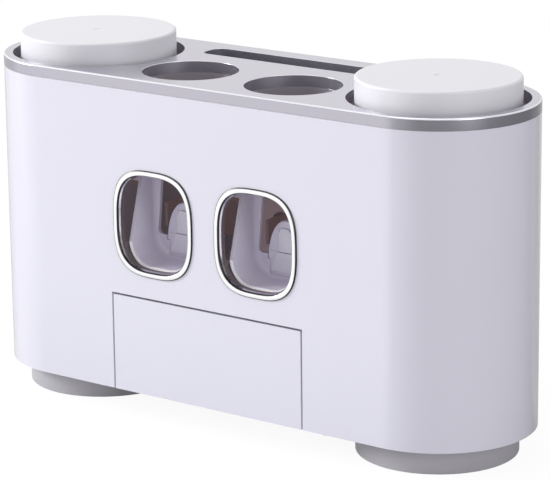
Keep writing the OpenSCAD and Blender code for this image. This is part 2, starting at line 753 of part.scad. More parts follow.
module toothbrush_rack() {
    back = comp_back - comp_wall;
    front = fit_gap - shell_in + rack_gap;
    color("#c4c4cc") difference() {
        box([fit_gap - comp_in, front, rack_z], [comp_in - fit_gap, back, rack_z + rack_t]);
        for (i = [0 : brush_count - 1]) {
            x = (i - (brush_count - 1) / 2) * brush_pitch;
            box([x - brush_slot_w / 2, front - 1, rack_z - 1],
                [x + brush_slot_w / 2, front + brush_slot_d - brush_slot_w / 2, rack_z + rack_t + 1]);
            translate([x, front + brush_slot_d - brush_slot_w / 2, rack_z - 1])
                cylinder(r = brush_slot_w / 2, h = rack_t + 2);
        }
    }
}

module flap_hinge_pins() {
    color("#8f9196") translate([0, hinge_y, hinge_z]) for (side = [-1, 1])
        translate([side * flap_pin_mid, 0, 0]) rod_x(flap_pin_r, -flap_pin_half, flap_pin_half);
}

module base_screws() {
    color("#8f9196") for (x = [-1, 1]) for (y = [-1, 1])
        translate([x * post_x, y * post_y, body_z]) rotate([180, 0, 0]) screw();
}

module dispenser_screws() {
    color("#8f9196") for (side = [-1, 1]) for (x = [-1, 1]) for (z = ear_zs)
        translate([side * tube_x + x * ear_x, 0, z]) {
            rod_y(screw_head_r, ear_y + ear_t, ear_y + ear_t + screw_head_t);
            rod_y(screw_r, ear_y - screw_grip, ear_y + ear_t + eps);
        }
}

// Front face of a lever's tongue, an arch on a narrower stalk
module tongue_outline() {
    polygon([for (t = [0 : 5 : 180]) [lever_half * cos(t), tongue_z + lever_rise * sin(t)]]);
    translate([-barrel_half, pivot_z]) square([2 * barrel_half, tongue_z - pivot_z + eps]);
}

module push_lever(side) {
    color("#d6d1de") translate([side * tube_x, 0, 0]) difference() {
        union() {
            translate([0, tongue_y + lever_t, 0]) rotate([90, 0, 0]) linear_extrude(lever_t) tongue_outline();
            box([-barrel_half, tongue_y, pivot_z - lever_pin_r - slack],
                [barrel_half, pivot_y, pivot_z + barrel_r - 2 * slack]);
            translate([0, pivot_y, pivot_z]) rod_x(barrel_r, -barrel_half, barrel_half);
            translate([0, 0, push_z]) rod_y(knob_r, tongue_y + 1, push_y - knob_r);
            translate([0, push_y - knob_r, push_z]) sphere(knob_r);
            box([-rib_half, tongue_y - rib_proud, tongue_z],
                [rib_half, tongue_y + 1, tongue_top - rib_inset]);
            box([-rib_cross, tongue_y - rib_proud, tongue_z + rib_inset],
                [rib_cross, tongue_y + 1, tongue_z + rib_inset + 2 * rib_half]);
        }
        translate([0, pivot_y, pivot_z]) rod_x(lever_pin_r + pin_clear, -barrel_half - 1, barrel_half + 1);
    }
}

module plunger(side) {
    color("#c9c9d0") translate([side * tube_x, 0, push_z]) {
        rod_y(stem_r, plunger_y, head_y + eps);
        rod_y(head_r, head_y, bellows_y);
    }
}

// Cup with its closed end up, its rim at the origin's plane
module cup(magnet) {
    difference() {
        rotate_extrude($fn = 128) union() {
            square([cup_r, cup_h - cup_edge_r]);
            square([cup_r - cup_edge_r, cup_h]);
            translate([cup_r - cup_edge_r, cup_h - cup_edge_r]) circle(cup_edge_r, $fn = 48);
        }
        translate([0, 0, -1]) cylinder(r = cup_r - cup_wall, h = cup_h - cup_base_t + 1, $fn = 128);
        if (magnet) translate([0, 0, cup_h - cup_base_t - 1])
            cylinder(r = magnet_r + fit_gap, h = magnet_t + 1);
    }
}

module upper_cup(side) {
    color("#f6f6f8") translate([side * cup_x, 0, upper_z]) cup(false);
}

module lower_cup(side) {
    color("#9b9ca2") translate([side * cup_x, 0, 0]) cup(true);
}

module lower_magnet(side) {
    color("#6e7074") translate([side * cup_x, 0, cup_h - cup_base_t + fit_gap])
        cylinder(r = magnet_r, h = magnet_t - fit_gap);
}

module front_flap() {
    color("#e9e8f1") difference() {
        union() {
            box([-flap_half, -body_r, body_z], [flap_half, -body_r + flap_t, flap_top]);
            box([-flap_half, -body_r, hinge_z - flap_t], [flap_half, hinge_y + hinge_wall, flap_top]);
            box([-grip_half, -body_r + flap_t - eps, body_z],
                [grip_half, -body_r + flap_t + grip_t, body_z + grip_h]);
        }
        for (side = [-1, 1]) translate([side * flap_half, hinge_y, hinge_z])
            rod_x(flap_pin_r + pin_clear, -flap_pin_in - fit_gap, flap_pin_in + fit_gap);
    }
}

module wall_plate() {
    color("#dfe0e6") difference() {
        union() {
            box([-plate_w / 2, plate_in, plate_z], [plate_w / 2, plate_out, plate_top]);
            for (x = [-1, 1]) translate([x * hook_pitch / 2, 0, hook_z]) {
                rod_y(hook_neck_r, pocket_in - slack - eps, plate_in + 1);
                rod_y(hook_head_r, pocket_in - slack - hook_head_t, pocket_in - slack);
            }
        }
        for (x = [-1, 1]) for (z = [-1, 1])
            translate([x * wall_screw_dx / 2, 0, wall_screw_z + z * wall_screw_dz / 2])
                rod_y(wall_screw_r, plate_in - 1, plate_out + 1);
    }
}

module wall_tape() {
    half = wall_screw_dx / 2 - wall_screw_r - 3;
    color("#c8c2b4") for (z = [-1, 1])
        box([-half, plate_out, wall_screw_z + z * plate_h / 4 - plate_h / 5],
            [half, plate_out + tape_t, wall_screw_z + z * plate_h / 4 + plate_h / 5]);
}

outer_shell();
top_tray();
base_plate();
cup_sleeve(-1);  // left_cup_sleeve
cup_sleeve(1);  // right_cup_sleeve
divider_magnet(-1);  // left_divider_magnet
divider_magnet(1);  // right_divider_magnet
window_bezel(-1);  // left_window_bezel
window_bezel(1);  // right_window_bezel
dispenser_tub(-1);  // left_dispenser_tub
dispenser_tub(1);  // right_dispenser_tub
pump_block(-1);  // left_pump_block
pump_block(1);  // right_pump_block
outlet_nozzle(-1);  // left_outlet_nozzle
outlet_nozzle(1);  // right_outlet_nozzle
inlet_valve(-1);  // left_inlet_valve
inlet_valve(1);  // right_inlet_valve
inlet_seal(-1);  // left_inlet_seal
inlet_seal(1);  // right_inlet_seal
tube_guide(-1);  // left_tube_guide
tube_guide(1);  // right_tube_guide
pump_bellows(-1);  // left_pump_bellows
pump_bellows(1);  // right_pump_bellows
return_spring(-1);  // left_return_spring
return_spring(1);  // right_return_spring
lever_pin(-1);  // left_lever_pin
lever_pin(1);  // right_lever_pin
storage_bin();
brush_compartment();
toothbrush_rack();
flap_hinge_pins();
base_screws();
dispenser_screws();
push_lever(-1);  // left_push_lever
push_lever(1);  // right_push_lever
plunger(-1);  // left_plunger
plunger(1);  // right_plunger
upper_cup(-1);  // upper_left_cup
upper_cup(1);  // upper_right_cup
lower_cup(-1);  // lower_left_cup
lower_cup(1);  // lower_right_cup
lower_magnet(-1);  // lower_left_magnet
lower_magnet(1);  // lower_right_magnet
front_flap();
wall_plate();
wall_tape();
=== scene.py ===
# %% [markdown]
# A wall-hung toothpaste dispenser in moulded plastic: a glossy white shell with round ends, a grey
# tray on top, white cups standing upside down in the tray, grey cups below, two windows with bright
# rims where a brush is pushed in, and a flap over the brush rack. The working model is the fixed
# frame. This lesson dresses it: it models each outside piece again in finer form, and gives every
# surface its own plastic, metal or rubber.

# %% Load the frame
import json
import math

import bpy
from mathutils import Matrix, Vector


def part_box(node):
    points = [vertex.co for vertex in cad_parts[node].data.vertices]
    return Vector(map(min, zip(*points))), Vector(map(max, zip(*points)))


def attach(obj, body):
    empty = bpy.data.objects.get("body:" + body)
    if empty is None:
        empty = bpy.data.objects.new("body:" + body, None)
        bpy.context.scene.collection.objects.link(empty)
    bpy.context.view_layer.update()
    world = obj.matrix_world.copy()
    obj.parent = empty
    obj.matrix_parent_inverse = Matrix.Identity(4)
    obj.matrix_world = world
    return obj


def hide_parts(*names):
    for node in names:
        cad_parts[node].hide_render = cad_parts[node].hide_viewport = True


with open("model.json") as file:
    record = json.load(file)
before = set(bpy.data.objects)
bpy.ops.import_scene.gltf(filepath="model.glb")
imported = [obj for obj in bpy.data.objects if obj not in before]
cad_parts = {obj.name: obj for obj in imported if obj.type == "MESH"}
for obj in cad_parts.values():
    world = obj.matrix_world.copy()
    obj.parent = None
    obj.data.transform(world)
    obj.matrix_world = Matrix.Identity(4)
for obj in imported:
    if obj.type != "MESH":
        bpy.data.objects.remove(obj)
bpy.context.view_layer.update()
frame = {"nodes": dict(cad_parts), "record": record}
MM = 0.001

# %% [markdown]
# Sizes are read from the frame, so each new piece lies exactly where its solid does. The body is a
# stadium in plan: two half circles about the cup centres, joined by straight sides.

# %% Sizes from the frame
shell_low, shell_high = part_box("outer_shell")
tray_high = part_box("top_tray")[1]
cup_low, cup_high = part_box("upper_right_cup")
bezel_low, bezel_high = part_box("right_window_bezel")
flap_low, flap_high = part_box("front_flap")
guide_low, guide_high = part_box("right_tube_guide")
bin_low, bin_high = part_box("storage_bin")
tub_low, tub_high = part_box("right_dispenser_tub")

body_r = shell_high.y
cup_x = shell_high.x - body_r
cup_r = (cup_high.x - cup_low.x) / 2
body_z = shell_low.z
shell_top = shell_high.z
tray_z = tray_high.z
tube_x = (guide_low.x + guide_high.x) / 2
tube_y = (guide_low.y + guide_high.y) / 2
window_z = (bezel_low.z + bezel_high.z) / 2
bezel_half_w = (bezel_high.x - bezel_low.x) / 2
bezel_half_h = (bezel_high.z - bezel_low.z) / 2
print("body radius", round(body_r / MM, 2), "cup centre", round(cup_x / MM, 2), "mm")

# %% [markdown]
# Every piece is made the same way: a primitive is added, its points or faces are picked by their
# place, and an edit-mode operator shapes what is picked. These small helpers keep that short. The
# frame leaves its nodes selected, so everything is deselected before a piece is touched.


# %% Helpers for picking and editing
def make_active(piece):
    bpy.ops.object.select_all(action="DESELECT")
    piece.select_set(True)
    bpy.context.view_layer.objects.active = piece


def named(name):
    """Names the object that was just added, and applies its place, turn and size."""
    piece = bpy.context.object
    piece.name = name
    piece.data.name = name
    bpy.ops.object.transform_apply()
    return piece


def unpick(piece):
    make_active(piece)
    for part in (piece.data.polygons, piece.data.edges, piece.data.vertices):
        part.foreach_set("select", [False] * len(part))


def pick_points(piece, test):
    """Opens the piece in edit mode with the points that pass the test selected."""
    unpick(piece)
    for point in piece.data.vertices:
        point.select = bool(test(point.co))
    bpy.ops.object.mode_set(mode="EDIT")
    bpy.ops.mesh.select_mode(type="VERT")


def pick_edges(piece, test):
    """Opens the piece in edit mode with the edges whose two ends pass the test selected."""
    unpick(piece)
    points = piece.data.vertices
    for edge in piece.data.edges:
        if test(points[edge.vertices[0]].co, points[edge.vertices[1]].co):
            edge.select = True
            points[edge.vertices[0]].select = True
            points[edge.vertices[1]].select = True
    bpy.context.tool_settings.mesh_select_mode = (False, True, False)
    bpy.ops.object.mode_set(mode="EDIT")


def close_edit():
    bpy.ops.object.mode_set(mode="OBJECT")


def apply_modifier(piece, kind, **values):
    make_active(piece)
    modifier = piece.modifiers.new(kind.lower(), kind)
    for key, value in values.items():
        setattr(modifier, key, value)
    bpy.ops.object.modifier_apply(modifier=modifier.name)


def combine(piece, other, operation="DIFFERENCE"):
    """Cuts the other piece out of this one, or joins it on, and removes the other."""
    apply_modifier(piece, "BOOLEAN", object=other, operation=operation, solver="EXACT")
    bpy.data.objects.remove(other)


# %% [markdown]
# Moulded plastic has no knife-sharp edge, and a fine rounded edge catches a thin line of light. So
# each finished piece is cleaned, its edges get a small bevel, and weighted normals keep the broad
# faces flat in the reflection. The bevel is clamped, so that it can't run over a neighbour, and
# the tightest spot of a piece sets its width everywhere. The tray and the levers get the width
# they ask for, the shell and the tubs only about 0.01 mm, and the flap none, so the edges of these
# three stay all but sharp.


# %% Helpers for blocks, rods and the finish of a mesh
def block(low, high, name="block"):
    low, high = Vector(low), Vector(high)
    bpy.ops.mesh.primitive_cube_add(size=1, location=(low + high) / 2)
    bpy.context.object.scale = high - low
    return named(name)


def rod(radius, start, end, sides=64, name="rod"):
    start, end = Vector(start), Vector(end)
    turn = (end - start).to_track_quat("Z", "Y").to_euler()
    bpy.ops.mesh.primitive_cylinder_add(
        vertices=sides, radius=radius, depth=(end - start).length,
        location=(start + end) / 2, rotation=turn,
    )
    return named(name)


def clean(piece, angle=0.4):
    """Merges doubles, joins faces that lie in one plane, and turns every face outwards."""
    pick_points(piece, lambda point: True)
    bpy.ops.mesh.remove_doubles(threshold=0.002 * MM)
    bpy.ops.mesh.dissolve_limited(angle_limit=math.radians(angle))
    bpy.ops.mesh.select_all(action="SELECT")
    bpy.ops.mesh.normals_make_consistent(inside=False)
    close_edit()


def soften(piece, width, segments=3, angle=40):
    if width:
        apply_modifier(
            piece, "BEVEL", width=width, segments=segments, limit_method="ANGLE",
            angle_limit=math.radians(angle), use_clamp_overlap=True, miter_outer="MITER_ARC",
        )
    make_active(piece)
    bpy.ops.object.shade_smooth_by_angle(angle=math.radians(50))
    apply_modifier(piece, "WEIGHTED_NORMAL", weight=80, keep_sharp=True)
    print(piece.name, len(piece.data.polygons), "faces")


# %% [markdown]
# Some pieces are lofts: one outline, repeated ring after ring with changing size. A ring starts as
# a circle, and each further ring is an extrusion of the last whose points are put in place by a
# rule.


# %% Helper for lofts
def loft(name, rings, place, sides=128, cap_start=False, cap_end=False, closed=False):
    """Gives each ring in turn to place(angle, ring), which returns the point at that angle."""
    fill = "NGON" if cap_start else "NOTHING"
    bpy.ops.mesh.primitive_circle_add(vertices=sides, radius=1, fill_type=fill)
    piece = named(name)
    angles = [2 * math.pi * i / sides for i in range(sides)]
    for angle, point in zip(angles, piece.data.vertices):
        point.co = place(angle, rings[0])
    pick_points(piece, lambda point: True)
    for ring in rings[1:]:
        bpy.ops.mesh.extrude_edges_move()
        close_edit()
        fresh = [point for point in piece.data.vertices if point.select]
        for angle, point in zip(angles, fresh):
            point.co = place(angle, ring)
        bpy.ops.object.mode_set(mode="EDIT")
    if cap_end:
        bpy.ops.mesh.edge_face_add()
    close_edit()
    pick_points(piece, lambda point: True)
    if closed:
        bpy.ops.mesh.remove_doubles(threshold=0.001 * MM)
    bpy.ops.mesh.normals_make_consistent(inside=False)
    close_edit()
    return piece


def round_corner(centre, radius, start, end, steps):
    """Points of an arc in a profile, as (across, up), with its angles in degrees."""
    turns = [math.radians(start + (end - start) * i / steps) for i in range(steps + 1)]
    return [(centre[0] + radius * math.cos(a), centre[1] + radius * math.sin(a)) for a in turns]


# %% [markdown]
# ## The outer shell
# The shell is one moulding, 2.6 mm thick, open above and below. A cylinder gives its round ends:
# its right half is moved right and its left half left, and the faces between stretch into the
# straight sides. A narrower one is cut out of it, then the windows and the flap's opening, whose
# upper edge is hollowed round the hinge so that the flap can swing.


# %% Stadium and window blocks
SIDES = 192
shell_wall = 2.6 * MM


def stadium(name, radius, low, high):
    """A cylinder whose halves are moved apart, so that its round ends lie about the cup centres."""
    bpy.ops.mesh.primitive_cylinder_add(
        vertices=SIDES, radius=radius, depth=high - low,
        location=(0, 0, (low + high) / 2), rotation=(0, 0, math.pi / SIDES),
    )
    piece = named(name)
    for side in (-1, 1):
        pick_points(piece, lambda point: point.x * side > 0)
        bpy.ops.transform.translate(value=(side * cup_x, 0, 0))
        close_edit()
    return piece


def window_point(angle, half_w, half_h):
    """A rounded window outline, between an oval and a box, as (across, up) from its centre."""
    power = 2 / 3
    c, s = math.cos(angle), math.sin(angle)
    x = half_w * math.copysign(abs(c) ** power, c)
    return x, half_h * math.copysign(abs(s) ** power, s)


def window_block(side, half_w, half_h, front, back):
    def place(angle, y):
        x, z = window_point(angle, half_w, half_h)
        return Vector((side * tube_x + x, y, window_z + z))

    return loft("window_block", [front, back], place, cap_start=True, cap_end=True)


# %% Shell body with its windows and flap opening
hinge_y = flap_low.y + 4.6 * MM
hinge_z = flap_high.z - 4 * MM
hinge_sweep = 6.79 * MM
opening_half = flap_high.x + 1 * MM
opening_depth = 4 * MM
window_inset = 1.65 * MM
window_depth = 4.6 * MM
shell = stadium("shell", body_r, body_z, shell_top)
combine(shell, stadium("shell_inside", body_r - shell_wall, body_z - MM, shell_top + MM))
for side in (-1, 1):
    half_w, half_h = bezel_half_w - window_inset, bezel_half_h - window_inset
    combine(shell, window_block(side, half_w, half_h, -body_r - MM, -body_r + window_depth))
opening_corner = (opening_half, -body_r + opening_depth, hinge_z)
combine(shell, block((-opening_half, -body_r - MM, body_z - MM), opening_corner))
combine(shell, rod(hinge_sweep, (-opening_half, hinge_y, hinge_z), (opening_half, hinge_y, hinge_z)))
print("shell", len(shell.data.polygons), "faces before its recess")

# %% [markdown]
# Behind, a recess takes the wall plate. It is a box joined on inside the wall and then hollowed
# from behind. Its floor has two keyholes, wide below and narrow above, and the plate's round hooks
# slip into them.

# %% Recess with its keyholes
plate_low, plate_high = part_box("wall_plate")
plate_t, plate_gap = 3.2 * MM, 2.1 * MM
recess_y = plate_high.y - plate_t - plate_gap
recess_half = plate_high.x + 4 * MM
recess_low = plate_low.z - 14 * MM
recess_high = plate_high.z + 2 * MM
hook_x, hook_z = 18 * MM, plate_high.z - 11 * MM
keyhole_narrow, keyhole_wide, keyhole_drop = 2.8 * MM, 5.6 * MM, 12 * MM
shell_back = body_r - shell_wall
box_low = (-recess_half - shell_wall, recess_y - shell_wall, recess_low - shell_wall)
box_high = (recess_half + shell_wall, shell_back + MM, recess_high + shell_wall)
combine(shell, block(box_low, box_high), "UNION")
combine(shell, block((-recess_half, recess_y, recess_low), (recess_half, body_r + MM, recess_high)))
front, back = recess_y - shell_wall - MM, recess_y + MM
foot_z, round_z = hook_z - keyhole_drop, hook_z + 0.01 * MM
for x in (-hook_x, hook_x):
    narrow = block((x - keyhole_narrow, front, foot_z), (x + keyhole_narrow, back, hook_z))
    combine(shell, narrow)
    combine(shell, rod(keyhole_narrow, (x, front, round_z), (x, back, round_z)))
    combine(shell, rod(keyhole_wide, (x, front, foot_z), (x, back, foot_z)))
print("recess", round(2 * recess_half / MM, 1), "mm wide")

# %% [markdown]
# Four posts inside take the screws that hold the base. Each is a rod with a fin that ties it to
# the wall. Then the whole moulding is cleaned, and its edges get what bevel the clamp allows.

# %% Posts for the base screws
post_x, post_y, post_r, post_h = 69.30 * MM, 42.6 * MM, 3 * MM, 24 * MM
fin_half = 1.5 * MM
foot = body_z + 2.4 * MM
for x in (-post_x, post_x):
    for y in (-post_y, post_y):
        combine(shell, rod(post_r, (x, y, foot), (x, y, foot + post_h), 32), "UNION")
        wall_y = math.copysign(shell_back + MM, y)
        near, far = min(y, wall_y), max(y, wall_y)
        fin = block((x - fin_half, near, foot), (x + fin_half, far, foot + post_h))
        combine(shell, fin, "UNION")
clean(shell)
soften(shell, 0.35 * MM, 2)


# %% [markdown]
# ## The tray
# The tray closes the top: 6 mm of silver-grey plastic with a wider rounding round its upper edge.
# The two wells, the two tube holes and the storage slot are cut through it, and their upper edges
# are rounded a little, which catches thin bright lines of light; a painted highlight on these
# bevels makes the lines brighter. Two thin lips below reach down inside the shell and keep the
# tray in place.

# %% Tray
well_r = 43.9 * MM
tube_r = 24 * MM
tray_round = 0.9 * MM
slot_half_w, slot_round = 8 * MM, 6 * MM
slot_half_l = bin_high.x - 1.6 * MM
slot_y = (bin_low.y + bin_high.y) / 2
lip_half_l, lip_half_t, lip_gap, lip_drop = 56 * MM, 0.8 * MM, 0.15 * MM, 5 * MM
tray = stadium("tray", body_r, shell_top, tray_z)
pick_edges(tray, lambda a, b: min(a.z, b.z) > tray_z - 0.01 * MM)
bpy.ops.mesh.bevel(offset=tray_round, segments=5, profile=0.5)
close_edit()
cut_low, cut_high = shell_top - 6 * MM, tray_z + MM
for side in (-1, 1):
    combine(tray, rod(well_r, (side * cup_x, 0, cut_low), (side * cup_x, 0, cut_high), 160))
    combine(tray, rod(tube_r, (side * tube_x, tube_y, cut_low), (side * tube_x, tube_y, cut_high), 128))
slot_near, slot_far = slot_y - slot_half_w, slot_y + slot_half_w
slot_hole = block((-slot_half_l, slot_near, cut_low), (slot_half_l, slot_far, cut_high))
pick_edges(slot_hole, lambda a, b: abs(a.z - b.z) > MM)
bpy.ops.mesh.bevel(offset=slot_round, segments=12, profile=0.5)
close_edit()
combine(tray, slot_hole)
for side in (-1, 1):
    lip_y = side * (shell_back - lip_half_t - lip_gap)
    lip_low = (-lip_half_l, lip_y - lip_half_t, shell_top - lip_drop)
    lip = block(lip_low, (lip_half_l, lip_y + lip_half_t, shell_top + MM))
    combine(tray, lip, "UNION")
clean(tray)
soften(tray, 0.45 * MM, 3)


# %% [markdown]
# ## Cups
# A cup is turned: its profile runs from the gate mark in the middle of the closed end, over the
# soft outer edge, down the wall, round the rim and up inside again. Upper and lower cups are the
# same moulding, but a lower cup has a round seat for its magnet.


# %% Cups
def turned(name, centre, profile, sides=160):
    def place(angle, ring):
        radius, height = ring
        across = (radius * math.cos(angle), radius * math.sin(angle), height)
        return Vector(centre) + Vector(across)

    return loft(name, profile, place, sides, cap_start=True, cap_end=True)


def cup_profile(height, seat):
    """The cup's section as (radius, height), from the gate mark's dimple to the inner floor."""
    wall, floor_t, edge, rim = 2 * MM, 4.4 * MM, 1.2 * MM, 0.55 * MM
    magnet_r, magnet_roof = 8.15 * MM, 1.9 * MM
    dimple = 0.3 * MM
    inner = cup_r - wall
    # The gate mark's dimple with its sloping side comes first, then the flat closed end.
    profile = [(0.9 * MM, height - dimple), (1.5 * MM, height - dimple)]
    profile += [(1.9 * MM, height - 0.02 * MM), (2.6 * MM, height), (20 * MM, height)]
    profile += round_corner((cup_r - edge, height - edge), edge, 90, 0, 8)
    profile += round_corner((cup_r - rim, rim), rim, 0, -90, 4)
    profile += round_corner((inner + rim, rim), rim, -90, -180, 4)
    profile += round_corner((inner - edge, height - floor_t - edge), edge, 0, 90, 6)
    if seat:
        profile += [(magnet_r, height - floor_t), (magnet_r, height - magnet_roof)]
    return profile + [(3 * MM, profile[-1][1])]


cups = {}
for level in ("upper", "lower"):
    for word, side in (("left", -1), ("right", 1)):
        node = f"{level}_{word}_cup"
        low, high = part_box(node)
        profile = cup_profile(high.z - low.z, level == "lower")
        cup = turned(f"cup_{level}_{word}", (side * cup_x, 0, low.z), profile)
        soften(cup, 0)
        cups[node] = cup


# %% [markdown]
# ## Window rims
# Each window has a plated rim. Its section is lofted round the window's outline: a dark foot in
# the joint with the shell, up over a softly crowned bright face, over a dark inner lip, a thin
# bright chamfer and back into the window. The dark foot is a painted shadow of the joint, the dark
# lip a painted reflection of the dark inside, and the rim's inside a painted shade, each on faces
# with a finish of their own. A row of the section says how far inside the outline and how deep it
# lies, in mm, and which of the three finishes the strip that starts there has.


# %% Window rims
# The dark strips are a painted shadow on the foot and a painted reflection on the inner lip; the bare
# strips inside are painted shade.
PLATED, PAINTED_DARK_LINE, PAINTED_SHADE = 0, 1, 2
RIM_SECTION = [
    (0.00, 0.00, PAINTED_DARK_LINE), (0.05, -0.40, PAINTED_DARK_LINE), (0.20, -0.62, PAINTED_DARK_LINE), (0.50, -0.78, PLATED),
    (0.90, -0.86, PLATED), (1.45, -0.90, PLATED), (2.05, -0.89, PLATED), (2.42, -0.82, PAINTED_DARK_LINE),
    (2.60, -0.62, PAINTED_DARK_LINE), (2.74, -0.30, PAINTED_DARK_LINE), (2.84, 0.05, PAINTED_DARK_LINE), (2.86, 0.45, PLATED),
    (3.30, 1.25, PAINTED_SHADE), (3.30, 1.60, PAINTED_SHADE), (3.22, 2.00, PAINTED_SHADE), (3.22, 4.20, PAINTED_SHADE),
    (1.80, 4.20, PAINTED_SHADE), (1.80, 0.00, PAINTED_DARK_LINE),
]


def window_rim(word, side):
    def place(angle, ring):
        x, z = window_point(angle, bezel_half_w - ring[0] * MM, bezel_half_h - ring[0] * MM)
        return Vector((side * tube_x + x, -body_r + ring[1] * MM, window_z + z))

    return loft(f"window_rim_{word}", RIM_SECTION + [RIM_SECTION[0]], place, 144, closed=True)


rims = {word: window_rim(word, side) for word, side in (("left", -1), ("right", 1))}
for rim in rims.values():
    soften(rim, 0)


# %% [markdown]
# ## Dispenser tubs
# Behind each window stands a smooth tub, open to the front. Its rim leans back towards the top,
# its lower corners are round, and the side walls run into the back in a hollow curve. The back is
# slotted round the lever's tongue. Four ears take the screws that hold it in the shell, and two
# cheeks behind its foot carry the lever's pin.

# %% Sizes of tub and lever
tub_half = 18 * MM
tub_wall = 1.8 * MM
tub_out = tub_half + tub_wall
tub_front = tub_low.y
tub_back = tub_front + 19.2 * MM
tub_z = window_z - bezel_half_h + 4 * MM
tub_top = tub_high.z
tub_corner, tub_hollow = 12 * MM, 3 * MM
tub_lean, lean_from = math.radians(16), 11 * MM
lever_half = 11 * MM
pivot_z = tub_z + 2.6 * MM
pivot_y = tub_back + tub_wall + 2.1 * MM
tongue_z = pivot_z + 6.5 * MM
tongue_h = 20.4 * MM
tongue_top = tongue_z + tongue_h
barrel_half = 9.2 * MM
tongue_gap, barrel_gap_drop = 0.15 * MM, 3.7 * MM
ear_y = tub_front + 8.4 * MM
ear_x = tub_out + 3.15 * MM
ear_half, ear_t, ear_inset = 3.4 * MM, 3 * MM, 9 * MM
cheek_x, cheek_half, cheek_r = 11.1 * MM, 1.5 * MM, 3.6 * MM
print("tub", round(2 * tub_out / MM, 1), "mm wide, tongue", round(tongue_h / MM, 1), "mm tall")


# %% Tubs
def tub_block(grow, front, back, top, hollow=0):
    """A block with two round lower corners, and where asked a rounding round its back."""
    half, r = tub_half + grow, tub_corner + grow
    piece = block((-half, front, tub_z - grow), (half, back, top))
    pick_edges(piece, lambda a, b: max(a.z, b.z) < tub_z - grow + 0.01 * MM and abs(a.x - b.x) < MM)
    bpy.ops.mesh.bevel(offset=r, segments=20, profile=0.5)
    close_edit()
    if hollow:
        near_back, below_top = back - 0.01 * MM, top - 0.01 * MM
        pick_edges(piece, lambda a, b: min(a.y, b.y) > near_back and min(a.z, b.z) < below_top)
        bpy.ops.mesh.bevel(offset=hollow, segments=8, profile=0.5)
        close_edit()
    return piece


def move_to_window(piece, side):
    pick_points(piece, lambda point: True)
    bpy.ops.transform.translate(value=(side * tube_x, 0, 0))
    close_edit()


def cut_tongue_slot(tub):
    """Cuts the tapered slot over the tongue, then the gaps beside its foot and its barrel."""
    slot_half = tub_half - 1.6 * MM
    slot_end = (slot_half - lever_half) / 2
    slot_z, slot_top = tongue_z + 5 * MM, tongue_top + 15 * MM
    slot_taper = 0.83
    near, past = tub_back - 0.5 * MM, tub_back + tub_wall + 0.6 * MM
    upper = block((-slot_half, near, slot_z - slot_end), (slot_half, past, slot_top))
    pick_edges(upper, lambda a, b: max(a.z, b.z) < slot_z and abs(a.x - b.x) < MM)
    bpy.ops.mesh.bevel(offset=slot_end * 0.98, segments=8, profile=0.5)
    close_edit()
    pick_points(upper, lambda point: point.z > tongue_top)
    bpy.ops.transform.resize(value=(slot_taper, 1, 1), center_override=(0, 0, tongue_top))
    close_edit()
    combine(tub, upper)
    for half, low, high in (
        (lever_half + tongue_gap, tongue_z - tongue_gap, slot_z + MM),
        (barrel_half + tongue_gap, pivot_z - barrel_gap_drop, tongue_z),
    ):
        combine(tub, block((-half, near, low), (half, past, high)))


def make_tub(word, side):
    tub = tub_block(tub_wall, tub_front, tub_back + tub_wall, tub_top)
    tub.name = tub.data.name = f"tub_{word}"
    for x in (-ear_x, ear_x):
        for z in (tub_z + ear_inset, tub_top - ear_inset):
            ear_low = (x - ear_half, ear_y, z - ear_half)
            ear = block(ear_low, (x + ear_half, ear_y + ear_t, z + ear_half))
            combine(tub, ear, "UNION")
    for x in (-cheek_x, cheek_x):
        cheek_low = (x - cheek_half, tub_back + MM, pivot_z - cheek_r)
        cheek = block(cheek_low, (x + cheek_half, pivot_y + cheek_r, pivot_z + cheek_r))
        combine(tub, cheek, "UNION")
    combine(tub, tub_block(0, tub_front - MM, tub_back, tub_top - tub_wall, tub_hollow))
    pick_points(tub, lambda point: True)
    bpy.ops.mesh.bisect(
        plane_co=(0, tub_front, tub_z + lean_from),
        plane_no=(0, -math.cos(tub_lean), math.sin(tub_lean)),
        use_fill=True, clear_outer=True, threshold=0.001 * MM,
    )
    close_edit()
    cut_tongue_slot(tub)
    move_to_window(tub, side)
    clean(tub)
    soften(tub, 0.4 * MM, 3)
    return tub


tubs = {word: make_tub(word, side) for word, side in (("left", -1), ("right", 1))}


# %% [markdown]
# ## Push levers
# The brush pushes the tongue of a lever. The tongue is an arch on a stalk, and it turns on a pin
# behind the foot of the tub. A rod is halved and stretched to give the arch. On its front stand
# two panels, a narrow one with a round top above and one below that widens downwards, with a
# groove between them and a fine moat round the upper one. A round knob behind pushes the plunger.

# %% Levers
lever_t = 2.6 * MM
tongue_y = tub_back
barrel_r = 3.2 * MM
knob_z = tongue_z + 12.5 * MM
knob_r = 3 * MM
knob_y = tongue_y + 7 * MM - knob_r
panel_y = tongue_y - 0.8 * MM
panel_half = 3.8 * MM
panel_split = tongue_z + 4 * MM
panel_top = tongue_top - 4 * MM
groove_h, groove_half, moat = 0.6 * MM, 9 * MM, 0.4 * MM
lower_half, lower_spread = 5 * MM, 1.7
foot_below, foot_above = 1.8 * MM, 2.6 * MM
lever_round = 0.9 * MM
lever_pin_r, lever_pin_half = 1.55 * MM, 10 * MM


